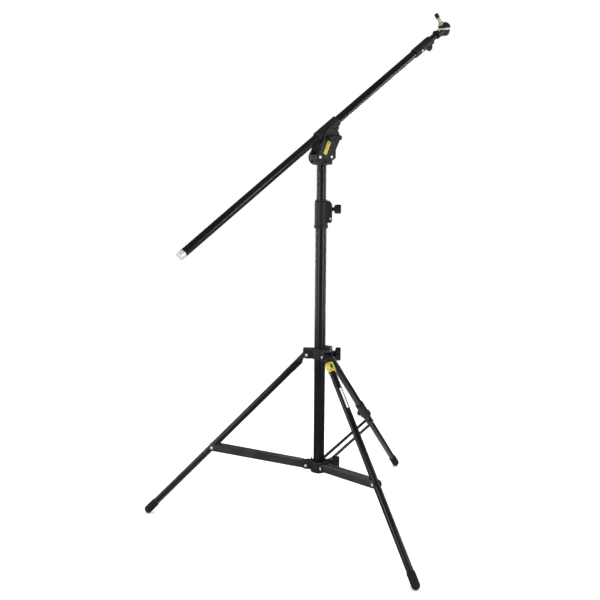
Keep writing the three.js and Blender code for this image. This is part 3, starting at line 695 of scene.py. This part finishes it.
def make_leg_marks():
    """Yellow sleeve label with a plain dark emblem, and a white graduated strip, on the front leg."""
    place, seen = leg_frame("front"), -148
    sleeve = lathe([(12.62, 26, 0.1), (12.95, 26, 0.1), (12.95, 56.6, 0.5), (11.04, 57, 0.1),
                    (11.04, 34, 0.05), (12.62, 33.7, 0.1)], closed=True)
    piece("front_leg_label", sleeve, place, YELLOW, "leg_front")
    ink, on_sleeve, on_tube, pitch = 0.12, 12.94, 11.02, 8.6
    marks = [wrap(on_sleeve, 34, 47, seen - 44, seen - 8, ink)]
    marks += [wrap(on_sleeve, *ends, seen - 40, seen + 30, ink) for ends in ((29.5, 31.5), (50.5, 52))]
    piece("front_leg_emblem", merged(*marks), place, INK, "leg_front")
    starts = [119 + pitch * k for k in range(8)]
    blocks = [wrap(on_tube, z, z + 7.6, seen - 44, seen - 14, ink) for z in starts]
    piece("front_leg_scale", merged(*blocks), place, WHITE, "leg_front")


def make_legs():
    for side in ("left", "front"):
        place = leg_frame(side)
        body = f"leg_{side}"
        tube = pipe(LEG_RADIUS, 9.4, TUBE_START, TUBE_END)
        piece(f"leg_skin_{side}", tube, place, TUBE, body, f"leg_tube_{side}")
        piece(f"leg_head_{side}", leg_top(9.1), place, CASTING, body, f"leg_top_{side}", sharp=0)
        piece(f"rubber_foot_{side}", foot(LEG_RADIUS), place, RUBBER, body, f"foot_{side}")
    make_leg_marks()
    make_levelling_leg()


def make_levelling_leg():
    place = leg_frame("back")
    sleeve = pipe(SLEEVE_RADIUS, 10.8, TUBE_START, 402)
    piece("sleeve_skin_back", sleeve, place, TUBE, "leg_back", "leg_tube_back")
    piece("leg_head_back", leg_top(10.5), place, CASTING, "leg_back", "leg_top_back", sharp=0)
    barrel = lathe([(9, 318), (14, 318, 1.5), (15.2, 326, 2), (15.2, 396, 3), (12.3, 410, 3),
                    (12.3, 447, 1.2), (9, 450)], closed=True)
    lug = block([-12.5, 11], [-15.6, 15.6], [372, 402], 2.4)
    band = pipe(13.1, 10, 440, 447, 0.8)
    cuts = [rod(12, 300, 402.3), rod(10.7, 300, 470)]
    to_knob = shift(0, 0, LEVELLING_KNOB_ALONG) @ ALONG_Y
    stud = moved(rod(STUD_HOLE, 12, 40), to_knob)
    pin = moved(rod(BOLT_HOLE, -30, 30), shift(0, 0, ARM) @ ALONG_Y)
    clamp = cast([barrel, lug, band], [*cuts, stud, pin], 0.75, 4)
    piece("levelling_clamp_casting", clamp, place, CASTING, "leg_back", "levelling_clamp", sharp=0)
    knob = ribbed_knob(11, 10, 8, 17.5, 5.5, 1.5, 3, 0.12)
    piece("levelling_knob_grip", knob, place @ to_knob, PLASTIC, "levelling_knob", "levelling_knob")
    tube = pipe(LEVELLING_RADIUS, 8.8, 145, TUBE_END)
    piece("levelling_skin", tube, place, TUBE, "levelling_leg", "levelling_tube")
    piece("rubber_foot_back", foot(LEVELLING_RADIUS), place, RUBBER, "levelling_leg", "foot_back")


# ---------- riser and tilting head ----------


def cheek_outline(inset=0.0):
    reach = 31.5 - inset
    low_left, low_right, i = -31 + inset, 38.3 - inset, inset
    corners = [(-24 + i * 0.5, 1153 + i, 3), (28 - i * 0.4, 1153 + i, 3), (low_right, 1159 + i * 0.5, 3),
               (low_right, 1183, 4)]
    corners += arc(TILT_X, TILT_Z, reach, -0.4, math.pi - 0.1, 28)
    corners += [(low_left, 1168, 4), (low_left, 1159 + i * 0.5, 3)]
    return corners


def head_bolt_places():
    return [shift(x, 0, HEAD_BOLT_Z) @ ALONG_Y for x in HEAD_BOLT_X.values()]


def cheek(outer, inner):
    """Side plate of the head with a raised rim, its outer face at y = outer."""
    step = 1.4 if outer > inner else -1.4
    near, far = sorted((outer, inner))
    body = plate(cheek_outline(), near, far, 0.9, 2)
    pocket = plate(cheek_outline(3.6), *sorted((outer - step, outer + step)))
    recessed = shaped([body], [pocket])
    # The raised rounds end just inside the plate's faces, so that no two faces share a plane.
    start, end = near + 0.05, far - 0.05
    boss = moved(rod(12.5, start, end, 0.8), shift(TILT_X, 0, TILT_Z) @ ALONG_Y)
    cups = [moved(pipe(6.6, 3.3, start, end, 0.5), place) for place in head_bolt_places()]
    holes = [moved(rod(BOLT_HOLE, -30, 30), place) for place in head_bolt_places()]
    return cast([recessed, boss, *cups], holes, 0.7, 3)


def make_riser():
    piece("riser_skin", pipe(RISER_RADIUS, 13.4, 312, 1168, 0.5), COLUMN, TUBE, "riser", "riser_tube")
    neck = lathe([(13, 1138), (21, 1138, 1.2), (21, 1145, 1.2), (19, 1147, 0.8), (19, 1175, 1.4), (13, 1175)],
                 closed=True)
    gap = 16.7
    yoke_corners = [(-32, 1153, 2), (-27, 1150, 2), (28, 1150, 2), (34, 1156, 2), (34, 1171, 2),
                    (-32, 1171, 2)]
    yoke = plate(yoke_corners, -gap, gap, 0.8)
    block_below = plate([(-19, 1139, 2), (29, 1139, 2), (31, 1160), (-23, 1160)], -16.5, 16.5, 1.4)
    flats = [block([-60, 60], side, [1149, 1200]) for side in ([gap, 60], [-60, -gap])]
    holes = [moved(rod(BOLT_HOLE, -30, 30), place) for place in head_bolt_places()]
    to_knob = shift(0, 0, SOCKET_KNOB_Z) @ ALONG_Y
    stud = moved(rod(STUD_HOLE, 15, 40), to_knob)
    cuts = [rod(15.3, 1100, 1168.3), rod(13.4, 1100, 1200), *flats, *holes, stud]
    socket = cast([neck, block_below, yoke], cuts, 0.8, 4)
    piece("head_socket_casting", socket, COLUMN, CASTING, "riser", "head_socket", sharp=0)
    piece("cheek_near", cheek(-22, -17), COLUMN, CASTING, "riser", "head_cheek_near", sharp=0)
    piece("cheek_far", cheek(22, 17), COLUMN, CASTING, "riser", "head_cheek_far", sharp=0)
    for name, x in HEAD_BOLT_X.items():
        place = COLUMN @ shift(x, 0, HEAD_BOLT_Z)
        piece(f"head_bolt_{name}_set", rivet(22, 4.8, 2.4), place, ZINC, "riser", f"head_bolt_{name}")
    knob = ribbed_knob(24, 13, 14, 25.2, 10, 2.9, 5.5, 0.08)
    piece("socket_knob_grip", knob, COLUMN @ to_knob, PLASTIC, "socket_knob", "socket_lock_knob")


def make_head_label():
    """Yellow label in the near cheek's recess, with a plain ring and two dots."""
    lean = COLUMN @ shift(4, 0, 1190) @ spin("Y", 25)
    film = plate([(-6.6, -21, 1.2), (6.6, -21, 1.2), (6.6, 21, 1.2), (-6.6, 21, 1.2)], -21.0, -20.4)
    piece("head_label", film, lean, YELLOW, "riser")
    face, ink = 21.0, 21.12
    ring = moved(pipe(3.0, 2.1, face, ink, 0.02, 40), shift(0, 0, 16) @ ALONG_MINUS_Y)
    dots = [moved(rod(1.5, face, ink, facets=32), shift(0, 0, z) @ ALONG_MINUS_Y) for z in (2.5, -4)]
    piece("head_label_marks", merged(ring, *dots), lean, INK, "riser")


def make_tilt_bolt():
    place = COLUMN @ shift(TILT_X, 0, TILT_Z)
    corners = [(0, -29), (4, -29, 0.5), (4, 22.3), (7.5, 22.3, 0.3), (7.5, 28.3, 0.9), (0, 28.3)]
    bolt = lathe(corners, facets=48)
    piece("tilt_bolt_shank", bolt, place @ ALONG_Y, ZINC, "riser", "tilt_bolt")
    hub = moved(lathe([(0, 22.3), (9.5, 22.3, 0.6), (9.1, 30, 1), (8, 41, 3), (0, 41.5)]), ALONG_MINUS_Y)
    wing = plate([(-21.5, -6.8, 5), (-14, -8, 4), (0, -6, 8), (14, -8, 4), (21.5, -6.8, 5), (23.4, 0, 6),
                  (21.5, 6.8, 5), (14, 8, 4), (0, 6, 8), (-14, 8, 4), (-21.5, 6.8, 5), (-23.4, 0, 6)],
                 -43, -29, 3, 3)
    hole = moved(rod(4.3, -60, 29.3), ALONG_MINUS_Y)
    handle = cast([hub, wing], [hole], 0.7, 7)
    piece("tilt_knob_grip", handle, place, PLASTIC, "tilt_knob", "tilt_knob", sharp=0)


# ---------- boom ----------


def make_sleeve():
    barrel = moved(lathe([(12, -23), (16.6, -23, 1.6), (16.6, 70, 1.6), (12, 70)], closed=True), ALONG_X)
    lips = [moved(pipe(16.9, 13, *ends, 0.5), ALONG_X) for ends in ((-22, -15), (62, 69))]
    to_pivot = shift(12.2, 0, -22.5) @ ALONG_Y
    boss = moved(rod(15, -16.6, 16.6, 1), to_pivot)
    gusset = plate([(-20, -8), (60, -8), (62, -20, 4), (50, -24, 5), (24, -30, 6), (2, -30, 6),
                    (-14, -20, 5)], -10, 10, 1.6, 3)
    bore = moved(rod(13.7, -60, 120), ALONG_X)
    hole = moved(rod(4.3, -40, 40), to_pivot)
    body = cast([barrel, *lips, boss, gusset], [bore, hole], 0.8, 4)
    piece("boom_sleeve_casting", body, BOOM, CASTING, "boom_sleeve", "boom_sleeve", sharp=0)
    liner = pipe(13.4, 12.8, -24, 71, 0.2)
    piece("boom_liner", liner, BOOM_AXIS, NYLON, "boom_sleeve", "boom_sleeve_liner")


def make_boom():
    piece("boom_skin", pipe(BOOM_RADIUS, 11.2, -593.7, 538), BOOM_AXIS, TUBE, "boom", "boom_tube")
    plug = lathe([(0, -609.6), (7.6, -609.6, 0.6), (8.4, -611, 0.3), (11.5, -611, 0.8), (12.5, -609.6, 0.6),
                  (12.5, -603.4, 0.2), (12.1, -603, 0.2), (12.1, -602.2, 0.2), (12.5, -601.8, 0.2),
                  (12.5, -594, 0.3), (10.9, -594), (10.9, -572, 0.6), (0, -572)])
    piece("boom_tail_cap", plug, BOOM_AXIS, ALUMINIUM, "boom", "boom_tail_plug")
    make_extension_clamp()


def make_extension_clamp():
    wall = [(9, 460), (14.6, 460, 1), (15.2, 466, 1.6)]
    for z in (474, 482, 490, 508, 516):
        wall += [(15.2, z - 2, 0.6), (14.3, z - 0.8, 0.5), (14.3, z + 0.8, 0.5), (15.2, z + 2, 0.6)]
    barrel = lathe(wall + [(15.2, 530, 3), (14.4, 547, 1.4), (9, 547)], closed=True)
    lug = plate([(8, -9), (20, -9, 5), (24, -5, 4), (24, 5, 4), (20, 9, 5), (8, 9)], 532, 563, 1.6)
    lug = moved(lug, spin("X", 90))
    rib = block([10, 16.8], [-5, 5], [468, 532], 1.6)
    to_knob = shift(0, 0, CLAMP_KNOB_ALONG) @ ALONG_X
    boss = moved(rod(7, 20, 24.3, 0.8), to_knob)
    stud = moved(rod(STUD_HOLE, 13, 60), to_knob)
    bores = [rod(12.8, 440, 538.3), rod(10.3, 440, 600)]
    clamp = cast([barrel, lug, rib, boss], [*bores, stud], 0.7, 3)
    piece("extension_clamp_casting", clamp, CLAMP, CASTING, "boom", "extension_clamp", sharp=0)
    rivet_head = lathe([(0, 13), (3.6, 13), (3.6, 16.6, 0.8), (0, 17.2)], facets=32)
    # On the near side of the boom, a little below its axis.
    side = BOOM @ shift(486, 0, 0) @ spin("X", 102)
    piece("extension_clamp_rivet", rivet_head, side, ZINC, "boom")
    knob = ribbed_knob(10, 18, 9, 27, 6, 2.7, 8, 0.12)
    piece("clamp_knob_grip", knob, CLAMP @ to_knob, PLASTIC, "clamp_knob", "extension_clamp_knob")


def make_extension():
    tube = pipe(EXTENSION_RADIUS, 8.6, 100, 596)
    piece("extension_skin", tube, BOOM_AXIS, TUBE, "extension", "extension_tube")
    to_swivel = BOOM.inverted() @ SWIVEL
    shank = moved(lathe([(0, 578), (14.5, 578, 1.5), (14.5, 612, 2), (0, 612)]), ALONG_X)
    bowl = lathe([(0, -23, 0), (10, -22, 3), (16.5, -15, 3), (18.5, -8, 2), (18.5, -2.8, 0.6), (0, -2.8)])
    bowl = moved(bowl, to_swivel)
    above = moved(block([-80, 80], [-80, 80], [-2.8, 90]), to_swivel)
    seat = moved(rod(10.3, 500, 596.3), ALONG_X)
    groove = moved(pipe(18, 13.6, 584, 585.6, 0.1), ALONG_X)
    base = cast([shank, bowl], [above, seat, groove], 0.75, 3)
    piece("spigot_base_casting", base, BOOM, CASTING, "extension", "spigot_base", sharp=0)
    screw = BOOM @ shift(590, 0, 0) @ spin("X", 40) @ shift(0, 0, 13.4)
    piece("spigot_base_screw", socket_screw(3.4, 2.6), screw, ZINC, "extension")
    disc = lathe([(0, -2.5), (20, -2.5, 0.5), (21, -1.5, 0.6), (21, -0.4, 0.2), (20.5, 0, 0.2),
                  (21, 0.4, 0.2), (21, 1.5, 0.6), (20, 2.5, 0.5), (0, 2.5)], facets=96)
    piece("swivel_plate", disc, SWIVEL, ZINC, "extension", "swivel_disc")


def make_spigot_head():
    dome = lathe([(0, 2.8), (19.5, 2.8, 0.5), (20.5, 7, 2), (18.5, 13, 3), (12.5, 19, 4), (5, 22, 4),
                  (0, 22)])
    dome = moved(dome, shift(1.5, 0, 0))
    socket = moved(lathe([(0, -12), (10.5, -12), (10.5, 1, 1.2), (0, 1)]), SPIGOT_IN_SWIVEL)
    below = block([-60, 60], [-60, 60], [-60, 2.8])
    hole = moved(rod(8.3, -7.3, 40), SPIGOT_IN_SWIVEL)
    body = cast([dome, socket], [below, hole], 0.7, 3)
    piece("spigot_block_casting", body, SWIVEL, CASTING, "spigot_head", "spigot_block", sharp=0)
    place = SWIVEL @ SPIGOT_IN_SWIVEL
    stud = lathe([(0, -7), (8, -7, 0.5), (8, 2.4, 0.3), (7.5, 2.9, 0.2), (7.5, 3.5, 0.2), (8, 4, 0.3),
                  (8, 7, 0.8), (5.3, 9.8, 1), (5.3, 27), (4.4, 27), (4.4, 37), (0, 37)], facets=48)
    piece("spigot_brass", stud, place, BRASS, "spigot_head", "spigot")
    cap = lathe([(4.9, 27.3), (6.9, 27.3, 0.8), (6.9, 32, 0.3), (6.5, 32.6, 0.3), (6.9, 33.2, 0.3),
                 (6.9, 40.5, 1.4), (3, 40.5, 0.4), (2.6, 39.4, 0.4), (0, 39.4), (0, 37.3),
                 (4.9, 37.3)], facets=48)
    piece("spigot_tip_cap", cap, place, PLASTIC, "spigot_head", "spigot_cap")


# ---------- making ----------

make_column()
make_lower_hub()
make_riser_lock()
make_leg_collar()
make_braces()
make_legs()
make_riser()
make_head_label()
make_tilt_bolt()
make_sleeve()
make_boom()
make_extension()
make_spigot_head()

hidden_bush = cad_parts["riser_foot_bush"]
hidden_bush.data.materials.clear()
hidden_bush.data.materials.append(NYLON)

# ---------- floor, light and camera ----------


def make_floor():
    n = Nodes("pale_floor")
    faint = n.noise(3, 3)
    colour = n.mix(faint, grey(0.93), grey(0.95))
    material = n.finish(colour, n.ramp(faint, 0.7, 0.8), specular=0.2)
    body = bmesh.new()
    bmesh.ops.create_circle(body, cap_ends=True, radius=1.9, segments=96)
    mesh = bpy.data.meshes.new("floor")
    body.to_mesh(mesh)
    body.free()
    mesh.materials.append(material)
    floor = bpy.data.objects.new("floor", mesh)
    floor.location = (0, 0, -0.0004)
    floor.visible_glossy = False
    bpy.context.scene.collection.objects.link(floor)


def softbox(name, place, aim, width, height, watts):
    light = bpy.data.lights.new(name, "AREA")
    light.shape = "RECTANGLE"
    light.size, light.size_y, light.energy = width, height, watts
    item = bpy.data.objects.new(name, light)
    bpy.context.scene.collection.objects.link(item)
    item.location = place
    item.rotation_mode = "QUATERNION"
    item.rotation_quaternion = (Vector(place) - Vector(aim)).to_track_quat("Z", "Y")
    return item


def make_lights():
    """Even white surroundings, a dim room over a pale floor in the reflections, and upright soft boxes."""
    world = bpy.data.worlds.new("studio")
    bpy.context.scene.world = world
    world.use_nodes = True
    tree = world.node_tree
    tree.nodes.clear()
    path = tree.nodes.new("ShaderNodeLightPath")
    either = tree.nodes.new("ShaderNodeMath")
    either.operation = "MAXIMUM"
    tree.links.new(path.outputs["Is Camera Ray"], either.inputs[0])
    tree.links.new(path.outputs["Is Diffuse Ray"], either.inputs[1])
    colours = tree.nodes.new("ShaderNodeMix")
    colours.data_type = "RGBA"
    tree.links.new(either.outputs[0], colours.inputs[0])
    where = tree.nodes.new("ShaderNodeTexCoord")
    split = tree.nodes.new("ShaderNodeSeparateXYZ")
    tree.links.new(where.outputs["Generated"], split.inputs[0])
    depth = tree.nodes.new("ShaderNodeMapRange")
    for socket, value in ((1, -0.55), (2, -0.85), (3, 0.07), (4, 0.9)):
        depth.inputs[socket].default_value = value
    tree.links.new(split.outputs[2], depth.inputs[0])
    tree.links.new(depth.outputs[0], colours.inputs[6])
    colours.inputs[7].default_value = grey(1.0)
    shader = tree.nodes.new("ShaderNodeBackground")
    tree.links.new(colours.outputs[2], shader.inputs[0])
    output = tree.nodes.new("ShaderNodeOutputWorld")
    tree.links.new(shader.outputs[0], output.inputs[0])
    centre = (0, 0.05, 0.8)
    for k, (azimuth, width, watts) in enumerate(
        ((-174, 0.35, 26), (-78, 0.4, 30), (-20, 0.3, 22), (35, 0.35, 22), (95, 0.35, 24), (140, 0.3, 20))
    ):
        angle = math.radians(azimuth)
        place = (2.9 * math.cos(angle), 2.9 * math.sin(angle), 1.1)
        softbox(f"softbox_{k}", place, (0, 0.05, 1.0), width, 2.0, watts)
    overhead = softbox("softbox_top", (0.1, 0.0, 3.6), centre, 2.4, 2.4, 40)
    overhead.visible_glossy = False


def make_camera():
    data = bpy.data.cameras.new("camera")
    data.lens, data.sensor_width = 57.26, 36
    data.clip_start, data.clip_end = 0.05, 60
    camera = bpy.data.objects.new("camera", data)
    bpy.context.scene.collection.objects.link(camera)
    ahead = Vector((0.61534, 0.76645, -0.18412)).normalized()
    up = Vector((0.11064, 0.14729, 0.98289))
    right = ahead.cross(up).normalized()
    up = right.cross(ahead)
    turn = Matrix((right, up, -ahead)).transposed().to_4x4()
    camera.matrix_world = Matrix.Translation((-1.9020, -2.1607, 1.2690)) @ turn
    bpy.context.scene.camera = camera


make_floor()
make_lights()
make_camera()
bpy.context.scene.view_settings.view_transform = "Standard"
